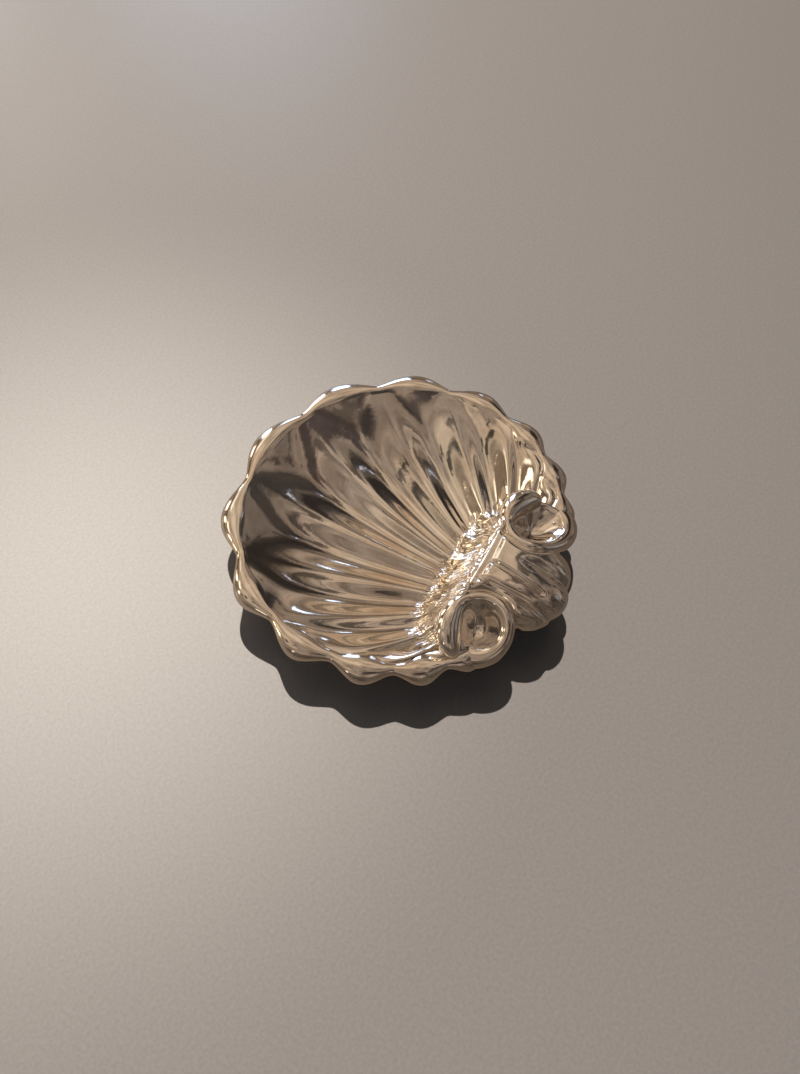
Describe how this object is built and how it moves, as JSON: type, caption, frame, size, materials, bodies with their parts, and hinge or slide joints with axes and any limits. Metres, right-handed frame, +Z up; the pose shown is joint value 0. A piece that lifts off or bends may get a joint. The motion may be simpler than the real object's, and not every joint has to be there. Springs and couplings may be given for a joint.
{
  "type": "shell trinket dish",
  "caption": "Shallow scallop-shell dish with a fluted bowl, a rounded scalloped lip, a gathered crest between two volutes and a small fluted heel, for trinkets, soap or sweets.",
  "frame": {"origin": "middle of the flat oval that the dish rests on, which is also the centre of the round scalloped outline, at the level of the table", "axes": "+Z up, +Y from the crest towards the front lobe of the lip, +X to the right along the width of the bowl"},
  "size_m": [0.1232, 0.1259, 0.0278],
  "materials": {
    "warm_silver": "polished silver plate with a light warm tarnish"
  },
  "bodies": {
    "root": {"shell_dish": "warm_silver"}
  },
  "joints": []
}
